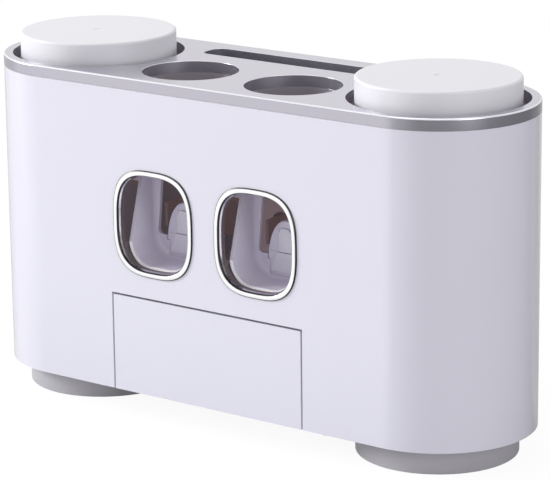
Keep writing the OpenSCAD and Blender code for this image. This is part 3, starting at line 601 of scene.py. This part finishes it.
def add_panels(lever):
    """Cuts the moat and the groove, then joins on the panel above and the one below."""
    panel_z = panel_split + groove_h
    moat_half, moat_back = panel_half + moat, tongue_y + moat
    combine(lever, block((-moat_half, panel_y, panel_split), (moat_half, moat_back, panel_top)))
    combine(lever, block((-groove_half, panel_y, panel_split), (groove_half, moat_back, panel_z)))
    upper = block((-panel_half, panel_y, panel_z), (panel_half, tongue_y + MM, panel_top))
    near_top = panel_top - 0.1 * MM
    pick_edges(upper, lambda a, b: min(a.z, b.z) > near_top and abs(a.x - b.x) < MM)
    bpy.ops.mesh.bevel(offset=panel_half * 0.9, segments=8, profile=0.5)
    close_edit()
    combine(lever, upper, "UNION")
    lower = block((-lower_half, panel_y, pivot_z + MM), (lower_half, tongue_y + MM, panel_split))
    pick_points(lower, lambda point: point.z < tongue_z)
    bpy.ops.transform.resize(value=(lower_spread, 1, 1), center_override=(0, 0, pivot_z))
    close_edit()
    combine(lever, lower, "UNION")


def add_knob(lever):
    combine(lever, rod(knob_r, (0, tongue_y + MM, knob_z), (0, knob_y, knob_z), 32), "UNION")
    bpy.ops.mesh.primitive_uv_sphere_add(
        segments=32, ring_count=16, radius=knob_r, location=(0, knob_y, knob_z)
    )
    combine(lever, named("knob"), "UNION")


def make_lever(word, side):
    tongue_behind = tongue_y + lever_t
    lever = rod(lever_half, (0, tongue_y, tongue_z), (0, tongue_behind, tongue_z), 64, f"lever_{word}")
    pick_points(lever, lambda point: True)
    bpy.ops.mesh.bisect(plane_co=(0, 0, tongue_z), plane_no=(0, 0, 1), clear_inner=True, use_fill=True)
    bpy.ops.mesh.select_all(action="SELECT")
    bpy.ops.transform.resize(value=(1, 1, tongue_h / lever_half), center_override=(0, 0, tongue_z))
    close_edit()
    stalk_top = (barrel_half, tongue_behind, tongue_z + 0.02 * MM)
    combine(lever, block((-barrel_half, tongue_y, pivot_z), stalk_top), "UNION")
    foot_low = (-barrel_half, tongue_y, pivot_z - foot_below)
    combine(lever, block(foot_low, (barrel_half, pivot_y, pivot_z + foot_above)), "UNION")
    barrel = rod(barrel_r, (-barrel_half, pivot_y, pivot_z), (barrel_half, pivot_y, pivot_z), 48)
    combine(lever, barrel, "UNION")
    clean(lever)
    at_front, above_foot = tongue_y + 0.01 * MM, pivot_z + 0.5 * MM
    pick_edges(lever, lambda a, b: max(a.y, b.y) < at_front and min(a.z, b.z) > above_foot)
    bpy.ops.mesh.bevel(offset=lever_round, segments=4, profile=0.5)
    close_edit()
    add_panels(lever)
    add_knob(lever)
    pin_start, pin_end = (-lever_pin_half, pivot_y, pivot_z), (lever_pin_half, pivot_y, pivot_z)
    combine(lever, rod(lever_pin_r, pin_start, pin_end, 32))
    move_to_window(lever, side)
    clean(lever)
    soften(lever, 0.2 * MM, 2)
    return lever


levers = {word: make_lever(word, side) for word, side in (("left", -1), ("right", 1))}


# %% [markdown]
# ## Flap
# The flap is a flat panel flush with the shell. Its top edge curls back round its hinge, with a
# hole for a steel pin at each end, and a small grip stands behind its lower edge.

# %% Flap
flap_half = flap_high.x
flap_t = 2.6 * MM
flap_back = -body_r + flap_t
grip_half, grip_h, grip_t = 12 * MM, 3 * MM, 1.6 * MM
pin_r, pin_deep = 1.25 * MM, 6.1 * MM
flap = block((-flap_half, -body_r, body_z), (flap_half, flap_back, flap_high.z), "flap")
curl = block((-flap_half, -body_r, hinge_z - flap_t), (flap_half, hinge_y + 2 * MM, flap_high.z))
combine(flap, curl, "UNION")
grip_low = (-grip_half, flap_back - 0.5 * MM, body_z)
combine(flap, block(grip_low, (grip_half, flap_back + grip_t, body_z + grip_h)), "UNION")
for side in (-1, 1):
    inner, outer = side * (flap_half - pin_deep), side * (flap_half + MM)
    combine(flap, rod(pin_r, (inner, hinge_y, hinge_z), (outer, hinge_y, hinge_z), 32))
clean(flap)
soften(flap, 0.35 * MM, 3)


# %% [markdown]
# ## Plastics, metal and rubber
# Every plastic here is moulded, so all of them share one surface: a slow drift of tone, a fine
# grain in the gloss, and a faint waviness that bends reflections. It is a node group, so that each
# finish only says how much of each it has. The group reads Object coordinates, which are metres.


# %% Moulded surface as a node group
def calculate(nodes, links, operation, first, second):
    """A math node between two values, each a number or another node's output."""
    node = nodes.new("ShaderNodeMath")
    node.operation = operation
    for socket, value in zip(node.inputs, (first, second)):
        if isinstance(value, (int, float)):
            socket.default_value = value
        else:
            links.new(value, socket)
    return node.outputs[0]


def make_moulded_group():
    group = bpy.data.node_groups.new("moulded_surface", "ShaderNodeTree")
    inputs = (
        ("Color", "NodeSocketColor", (0.8, 0.8, 0.8, 1)),
        ("Drift", "NodeSocketFloat", 0.02),
        ("Roughness", "NodeSocketFloat", 0.3),
        ("Gloss Grain", "NodeSocketFloat", 0.05),
        ("Grain Scale", "NodeSocketFloat", 2500.0),
        ("Grain Height", "NodeSocketFloat", 0.02),
        ("Wave Height", "NodeSocketFloat", 0.02),
    )
    for name, kind, value in inputs:
        group.interface.new_socket(name, in_out="INPUT", socket_type=kind).default_value = value
    group.interface.new_socket("Color", in_out="OUTPUT", socket_type="NodeSocketColor")
    group.interface.new_socket("Roughness", in_out="OUTPUT", socket_type="NodeSocketFloat")
    group.interface.new_socket("Normal", in_out="OUTPUT", socket_type="NodeSocketVector")
    nodes, links = group.nodes, group.links
    given = nodes.new("NodeGroupInput")
    result = nodes.new("NodeGroupOutput")
    place = nodes.new("ShaderNodeTexCoord").outputs["Object"]

    def noise(scale, detail):
        node = nodes.new("ShaderNodeTexNoise")
        links.new(place, node.inputs["Vector"])
        node.inputs["Detail"].default_value = detail
        if isinstance(scale, (int, float)):
            node.inputs["Scale"].default_value = scale
        else:
            links.new(scale, node.inputs["Scale"])
        return node.outputs["Fac"]

    slow = calculate(nodes, links, "SUBTRACT", noise(14, 2), 0.5)
    drift = calculate(nodes, links, "MULTIPLY", slow, given.outputs["Drift"])
    level = calculate(nodes, links, "ADD", 1.0, drift)
    tone = nodes.new("ShaderNodeVectorMath")
    tone.operation = "SCALE"
    links.new(given.outputs["Color"], tone.inputs[0])
    links.new(level, tone.inputs["Scale"])
    links.new(tone.outputs[0], result.inputs["Color"])

    grain = noise(given.outputs["Grain Scale"], 3)
    cloud = calculate(nodes, links, "SUBTRACT", noise(90, 4), 0.5)
    haze = calculate(nodes, links, "MULTIPLY", cloud, given.outputs["Gloss Grain"])
    rough = calculate(nodes, links, "ADD", given.outputs["Roughness"], haze)
    links.new(rough, result.inputs["Roughness"])

    fine = nodes.new("ShaderNodeBump")
    fine.inputs["Distance"].default_value = 0.05 * MM
    links.new(given.outputs["Grain Height"], fine.inputs["Strength"])
    links.new(grain, fine.inputs["Height"])
    wave = nodes.new("ShaderNodeBump")
    wave.inputs["Distance"].default_value = 1.0 * MM
    links.new(given.outputs["Wave Height"], wave.inputs["Strength"])
    links.new(noise(45, 1), wave.inputs["Height"])
    links.new(fine.outputs["Normal"], wave.inputs["Normal"])
    links.new(wave.outputs["Normal"], result.inputs["Normal"])
    return group


moulded_group = make_moulded_group()
print("moulded surface:", len(moulded_group.nodes), "nodes")

# %% [markdown]
# A finish is the group with its own values, led into a plain shader. The shell and the tubs are
# glossy, the cups satin, the rims plated, and what isn't seen from outside is plainer. The parts
# behind the windows have a faint painted glow, which stands in for light coming through the thin
# white shell.


# %% Plastic, metal and rubber from the group
def finish_of(name, color, roughness, drift=0.02, gloss_grain=0.05, grain_scale=2500.0,
              grain=0.1, wave=0.02, **shader):
    material = bpy.data.materials.new(name)
    material.use_nodes = True
    nodes, links = material.node_tree.nodes, material.node_tree.links
    principled = nodes["Principled BSDF"]
    surface = nodes.new("ShaderNodeGroup")
    surface.node_tree = moulded_group
    values = {
        "Color": (*color, 1), "Drift": drift, "Roughness": roughness, "Gloss Grain": gloss_grain,
        "Grain Scale": grain_scale, "Grain Height": grain, "Wave Height": wave,
    }
    for key, value in values.items():
        surface.inputs[key].default_value = value
    links.new(surface.outputs["Color"], principled.inputs["Base Color"])
    links.new(surface.outputs["Roughness"], principled.inputs["Roughness"])
    links.new(surface.outputs["Normal"], principled.inputs["Normal"])
    for key, value in shader.items():
        principled.inputs[key.replace("_", " ")].default_value = value
    material.diffuse_color = (*color, 1)
    return material


# Painted glow: a faint emission that stands in for light coming through the white shell.
PAINTED_GLOW_WARM = {"Emission_Color": (0.100, 0.072, 0.076, 1), "Emission_Strength": 1.0}
PAINTED_GLOW_FAINT = {"Emission_Color": (0.040, 0.032, 0.035, 1), "Emission_Strength": 1.0}
FINISHES = {
    "shell_white": finish_of("shell_white_gloss", (0.79, 0.78, 0.88), 0.12, grain=0.02,
                             Coat_Weight=1.0, Coat_Roughness=0.06),
    "tray_grey": finish_of("tray_silver_satin", (0.53, 0.515, 0.575), 0.24, grain=0.10, Metallic=0.85),
    # The sleeves have a faint painted glow.
    "sleeve_grey": finish_of("sleeve_grey_satin_painted_glow", (0.26, 0.255, 0.285), 0.15, grain=0.05, **PAINTED_GLOW_FAINT),
    "inner_white": finish_of("inner_white_plain", (0.70, 0.70, 0.73), 0.45, grain=0.3),
    "rack_grey": finish_of("rack_grey_plain", (0.52, 0.52, 0.56), 0.45, grain=0.3),
    "bezel_chrome": finish_of("rim_bright_plating", (0.97, 0.97, 0.98), 0.12,
                              gloss_grain=0.02, grain=0.0, wave=0.01, Metallic=1.0),
    "tub_lavender": finish_of("tub_lavender_satin", (0.79, 0.755, 0.875), 0.18, grain=0.03),
    "silicone": finish_of("silicone_milky", (0.78, 0.75, 0.68), 0.5, grain=0.1),
    "seal_rubber": finish_of("seal_rubber_matte", (0.16, 0.16, 0.17), 0.65, grain=0.4),
    "steel": finish_of("steel_bright", (0.60, 0.60, 0.62), 0.28, grain=0.2, Metallic=1.0),
    "magnet": finish_of("magnet_nickel", (0.50, 0.50, 0.50), 0.25, grain=0.1, Metallic=1.0),
    "cup_white": finish_of("cup_white_satin", (0.84, 0.835, 0.88), 0.36, grain=0.2),
    "cup_grey": finish_of("cup_grey_satin", (0.50, 0.49, 0.525), 0.34, grain=0.2),
    "plate_white": finish_of("plate_white_plain", (0.74, 0.74, 0.77), 0.4, grain=0.3),
    "tape": finish_of("tape_foam", (0.62, 0.59, 0.52), 0.9, grain=0.8, grain_scale=900.0, wave=0.1),
}
# The shell's inside has a faint painted glow.
shell_inside = finish_of("shell_inside_painted_glow", (0.74, 0.73, 0.78), 0.35, grain=0.1, **PAINTED_GLOW_WARM)
# Painted shade with a faint painted glow for the pump blocks and the tubs' ears, dark where only shade
# falls.
painted_shade_and_glow = finish_of("pump_painted_shade_and_glow", (0.07, 0.05, 0.052), 0.5, grain=0.2,
                        Emission_Color=(0.062, 0.040, 0.042, 1), Emission_Strength=1.0)
# Painted highlight: a lighter colour on the tray's bevels.
tray_painted_highlight = finish_of("tray_edge_painted_highlight", (0.84, 0.83, 0.88), 0.2, grain=0.05, Metallic=0.5)
# Painted highlight: near white with a faint glow on the front of each tub's rim.
tub_rim_painted_highlight = finish_of("tub_rim_painted_highlight_glow", (0.98, 0.97, 1.0), 0.10, grain=0.0, Coat_Weight=1.0,
                    Emission_Color=(0.20, 0.19, 0.21, 1), Emission_Strength=1.0)
# Painted highlight: a lighter lavender on the tongue's edge and panels.
tongue_painted_highlight = finish_of("tongue_edge_painted_highlight", (0.86, 0.83, 0.93), 0.15, grain=0.02)
# Painted shadow and painted reflection for the rim's dark strips, painted shade for its inside.
painted_shadow_and_reflection = finish_of("rim_painted_shadow_and_reflection", (0.02, 0.02, 0.022), 0.25, grain=0.05)
painted_shade_in_rim = finish_of("rim_painted_shade", (0.13, 0.105, 0.11), 0.4, grain=0.1)
print(len(FINISHES), "finishes for the slots")

# %% [markdown]
# Each node that stays takes the finish of its slot, and each new piece takes the finish of the
# node that it stands for, rides on that node's body and hides the node.

# %% Finish, body and slot of every piece
slot_of = {item["node"]: item["material_slot"] for item in frame["record"]["subparts"]}
bodies = frame["record"]["behaviour"]["bodies"]
body_of = {node: body for body, nodes in bodies.items() for node in nodes}
for node, piece in frame["nodes"].items():
    piece.data.materials.clear()
    piece.data.materials.append(FINISHES[slot_of[node]])


def dress(piece, node):
    piece.data.materials.clear()
    piece.data.materials.append(FINISHES[slot_of[node]])
    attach(piece, body_of[node])
    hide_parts(node)
    print(piece.name, "rides on", body_of[node], "for", node)


dress(shell, "outer_shell")
dress(tray, "top_tray")
dress(flap, "front_flap")
for word in ("left", "right"):
    dress(rims[word], f"{word}_window_bezel")
    dress(tubs[word], f"{word}_dispenser_tub")
    dress(levers[word], f"{word}_push_lever")
for node, cup in cups.items():
    dress(cup, node)


# %% [markdown]
# The rim's painted dark lines and painted shade are strips of its section. The faces of a loft
# come in no handy order, so each face is matched to the strip of the section whose middle lies
# nearest to its own.


# %% Painted shadow on the foot, painted reflection on the lip and painted shade inside the window rims
def inward_of(across, up):
    """How far a point lies inside the rim's outline, in mm, by halving.

    A point is on an outline when the cubes of its two shares of the half sizes add up to 1."""
    low, high = -1.0, 6.0
    for _ in range(24):
        middle = (low + high) / 2
        x = across / (bezel_half_w - middle * MM)
        z = up / (bezel_half_h - middle * MM)
        low, high = (low, middle) if x ** 3 + z ** 3 > 1 else (middle, high)
    return (low + high) / 2


for word, side in (("left", -1), ("right", 1)):
    rim = rims[word]
    # The rim's faces take the plating, the painted dark strips or the painted shade.
    rim.data.materials.append(painted_shadow_and_reflection)
    rim.data.materials.append(painted_shade_in_rim)
    for face in rim.data.polygons:
        inward = inward_of(abs(face.center.x - side * tube_x), abs(face.center.z - window_z))
        depth = (face.center.y + body_r) / MM
        best = None
        for here, after in zip(RIM_SECTION, RIM_SECTION[1:] + RIM_SECTION[:1]):
            miss = math.hypot(inward - (here[0] + after[0]) / 2, depth - (here[1] + after[1]) / 2)
            if best is None or miss < best[0]:
                best = (miss, here[2])
        face.material_index = best[1]
    plated = sum(face.material_index == PLATED for face in rim.data.polygons)
    print(rim.name, plated, "of", len(rim.data.polygons), "faces are plated")

# %% [markdown]
# The tray's bevels, the rim of each tub, and the panels and the edge of each tongue get a painted
# highlight: a lighter finish, with a faint glow on the tub's rim, in place of the light that
# rounded edges catch. The faces are picked by where they lie and which way they look: a bevel
# faces neither straight up or forwards nor straight aside.

# %% Painted highlights on the edges of tray, tubs and tongues
BEVEL_LEAST, BEVEL_MOST, FORWARDS = 0.2, 0.96, 0.8
edge_depth, near_by = 1.0 * MM, 0.3 * MM
rim_top = tub_z + lean_from + 0.4 * MM
arch_half = 4.5 * MM
panel_face = tongue_y - 0.7 * MM


def paint(piece, slot, test):
    """Gives the faces that pass the test the material in this slot."""
    chosen = [face for face in piece.data.polygons if test(face.center, face.normal)]
    for face in chosen:
        face.material_index = slot
    print(piece.name, len(chosen), "faces in", piece.data.materials[slot].name)


def paint_window(tub, lever, middle):
    def is_rim(centre, normal):
        return -normal.y > FORWARDS and centre.z < rim_top and centre.y < tub_front + near_by

    def is_tongue_edge(centre, normal):
        bevel = BEVEL_LEAST < -normal.y < BEVEL_MOST
        arch = centre.z > tongue_z and bevel and abs(centre.x - middle) > arch_half
        return arch or centre.y < panel_face

    for finish in (tub_rim_painted_highlight, painted_shade_and_glow):
        tub.data.materials.append(finish)
    # The rim's front faces get the painted highlight.
    paint(tub, 1, is_rim)
    # The ears take the painted shade and glow.
    paint(tub, 2, lambda centre, normal: abs(centre.x - middle) > tub_out + near_by)
    # The tongue's edge and panels get the painted highlight.
    lever.data.materials.append(tongue_painted_highlight)
    paint(lever, 1, is_tongue_edge)


def is_tray_edge(centre, normal):
    return centre.z > tray_z - edge_depth and BEVEL_LEAST < normal.z < BEVEL_MOST


# The tray's bevels get the painted highlight.
tray.data.materials.append(tray_painted_highlight)
paint(tray, 1, is_tray_edge)
for word, side in (("left", -1), ("right", 1)):
    paint_window(tubs[word], levers[word], side * tube_x)

# %% [markdown]
# The shell's inside is seen only through the windows and the slots beside the tongues, and it has
# a faint painted glow in place of the light that comes through its own wall. The pump blocks
# behind and the tubs' ears get a painted shade: dark umber with a faint painted glow, because
# little light gets so far in.


# %% The shell's inside and the pump blocks
inside_r = shell_back + 0.2 * MM
recess_side, recess_front = recess_half + 0.2 * MM, recess_y - 0.5 * MM


def is_inside(centre, normal):
    across = max(abs(centre.x) - cup_x, 0)
    recess = centre.y > recess_front and abs(centre.x) < recess_side
    return math.hypot(across, centre.y) < inside_r and not recess


# The shell's inside faces get the painted glow.
shell.data.materials.append(shell_inside)
paint(shell, 1, is_inside)
# The pump blocks take the painted shade and glow instead of the finish of their slot.
for word in ("left", "right"):
    pump_block = frame["nodes"][f"{word}_pump_block"]
    pump_block.data.materials.clear()
    pump_block.data.materials.append(painted_shade_and_glow)


# %% [markdown]
# ## Floor, light and camera
# To the camera, floor and world are white, but both light the object only at a plain level, so
# its colours render as written. Reflections see the world white too. The floor they see is white
# on the left and darker to the right and close by, with soft borders, because in the photo's room
# something darkens what the glossy right end mirrors. No light is added for it. From below the
# floor is clear, so that the underside can be looked at.


# %% Values and masks of the floor
AMBIENT = 0.37
FLOOR_SIZE, FLOOR_DROP = 12, 0.0002
FLOOR_GLOW, FLOOR_SHARE = 1.06, 0.88
PAPER = (0.82, 0.82, 0.84, 1)
FLOOR_SHADES = [
    # point (in m), direction (in degrees), blur (in m), least
    ((cup_x, -body_r), -111.0, 0.012, 0.45),
    ((cup_x, -body_r), -88.0, 0.12, 0.45),
    ((-cup_x, -body_r), 40.0, 0.03, 0.9),
    ((0, -0.16), 0, 0.10, 0.65),
]


def seen_mask(nodes, links):
    """1 where a camera, glossy or transmission ray looks at this surface."""
    path = nodes.new("ShaderNodeLightPath").outputs
    both = calculate(nodes, links, "MAXIMUM", path["Is Camera Ray"], path["Is Glossy Ray"])
    return calculate(nodes, links, "MAXIMUM", both, path["Is Transmission Ray"])


def side_of(nodes, links, point, azimuth, blur, least):
    """1 to the right of a line on the floor that leaves the point at this angle, else least."""
    facing = math.radians(azimuth) - math.pi / 2
    across = (math.cos(facing), math.sin(facing), 0)
    dot = nodes.new("ShaderNodeVectorMath")
    dot.operation = "DOT_PRODUCT"
    dot.inputs[1].default_value = across
    links.new(nodes.new("ShaderNodeTexCoord").outputs["Object"], dot.inputs[0])
    mask = nodes.new("ShaderNodeMapRange")
    mask.interpolation_type = "SMOOTHSTEP"
    start = point[0] * across[0] + point[1] * across[1]
    mask.inputs["From Min"].default_value = start - blur
    mask.inputs["From Max"].default_value = start + blur
    mask.inputs["To Min"].default_value = least
    links.new(dot.outputs["Value"], mask.inputs["Value"])
    return mask.outputs["Result"]


def floor_glow(nodes, links):
    """White to the camera. Reflections see the floor shaded to the right and close by."""
    value = FLOOR_GLOW
    for shade in FLOOR_SHADES:
        value = calculate(nodes, links, "MULTIPLY", side_of(nodes, links, *shade), value)
    glow = nodes.new("ShaderNodeMapRange")
    glow.inputs["To Min"].default_value = FLOOR_GLOW
    links.new(nodes.new("ShaderNodeLightPath").outputs["Is Glossy Ray"], glow.inputs["Value"])
    links.new(value, glow.inputs["To Max"])
    return glow.outputs["Result"]


print("floor glow", FLOOR_GLOW, "with", len(FLOOR_SHADES), "shades in reflections")


# %% Floor and world
def make_floor():
    bpy.ops.mesh.primitive_plane_add(size=FLOOR_SIZE, location=(0, 0, -FLOOR_DROP))
    floor = named("floor")
    material = bpy.data.materials.new("floor_white")
    material.use_nodes = True
    nodes, links = material.node_tree.nodes, material.node_tree.links
    nodes.clear()
    output = nodes.new("ShaderNodeOutputMaterial")
    mix = nodes.new("ShaderNodeMixShader")
    paper = nodes.new("ShaderNodeBsdfDiffuse")
    paper.inputs["Color"].default_value = PAPER
    glow = nodes.new("ShaderNodeEmission")
    links.new(floor_glow(nodes, links), glow.inputs["Strength"])
    share = calculate(nodes, links, "MULTIPLY", seen_mask(nodes, links), FLOOR_SHARE)
    links.new(share, mix.inputs["Fac"])
    links.new(paper.outputs[0], mix.inputs[1])
    links.new(glow.outputs[0], mix.inputs[2])
    from_below = nodes.new("ShaderNodeMixShader")
    links.new(nodes.new("ShaderNodeNewGeometry").outputs["Backfacing"], from_below.inputs["Fac"])
    links.new(mix.outputs[0], from_below.inputs[1])
    links.new(nodes.new("ShaderNodeBsdfTransparent").outputs[0], from_below.inputs[2])
    links.new(from_below.outputs[0], output.inputs["Surface"])
    floor.data.materials.append(material)


def make_world(level):
    world = bpy.data.worlds.new("white_room")
    bpy.context.scene.world = world
    world.use_nodes = True
    nodes, links = world.node_tree.nodes, world.node_tree.links
    background = nodes["Background"]
    mix = nodes.new("ShaderNodeMapRange")
    mix.inputs["To Min"].default_value = level
    mix.inputs["To Max"].default_value = 1.0
    links.new(seen_mask(nodes, links), mix.inputs["Value"])
    background.inputs["Color"].default_value = (1, 1, 1, 1)
    links.new(mix.outputs["Result"], background.inputs["Strength"])


make_floor()
make_world(AMBIENT)
print("floor", FLOOR_SIZE, "m wide, world at", AMBIENT)


# %% [markdown]
# The key lamp stands low on the left, far off, so the left and front sides are bright and the
# right end falls into shade. Weak lamps in front, above and at the right keep the rest readable.


# %% Lamps
AIM = (0, 0, 0.09)


def lamp(name, place, size, power, aim=AIM):
    bpy.ops.object.light_add(type="AREA", location=place)
    light = bpy.context.object
    light.name = name
    light.rotation_euler = (Vector(aim) - Vector(place)).to_track_quat("-Z", "Y").to_euler()
    light.data.shape = "RECTANGLE"
    light.data.size, light.data.size_y = size
    light.data.energy = power
    print("lamp", name, power, "W")


KEY_POWER = 54.0
FRONT_POWER = 1.5
TOP_POWER = 4.9
SIDE_POWER = 4.6
lamp("key_left", (-2.243, -1.046, 1.0), (0.9, 0.9), KEY_POWER)
lamp("front_soft", (-0.2, -1.6, 0.9), (0.9, 0.9), FRONT_POWER)
lamp("top_soft", (-0.1, 0.1, 1.5), (1.2, 1.0), TOP_POWER)
lamp("side_right", (1.4, -0.5, 0.5), (0.7, 0.9), SIDE_POWER)

# %% [markdown]
# The camera stands where the photo's camera stood. Its angles, distance and focal length come
# from a fit to the outlines in the photo.

# %% Camera
turn, rise, roll = math.radians(36.666), math.radians(14.928), math.radians(-0.620)
distance, lens_mm, sensor_mm = 1.42579, 187.64, 36
target = Vector((0.007115, 0, 0.089683))
back = Vector((math.sin(turn) * math.cos(rise), -math.cos(turn) * math.cos(rise), math.sin(rise)))
right = Vector((math.cos(turn), math.sin(turn), 0))
up = back.cross(right)
bpy.ops.object.camera_add(location=target + back * distance)
camera = bpy.context.object
camera.name = "camera"
right_rolled = right * math.cos(roll) + up * math.sin(roll)
up_rolled = up * math.cos(roll) - right * math.sin(roll)
camera.rotation_euler = Matrix((right_rolled, up_rolled, back)).transposed().to_euler()
camera.data.sensor_width = sensor_mm
camera.data.lens = lens_mm
camera.data.clip_end = 50
bpy.context.scene.camera = camera
bpy.context.scene.view_settings.view_transform = "Standard"
print("camera", round(distance, 3), "m away, lens", lens_mm, "mm")
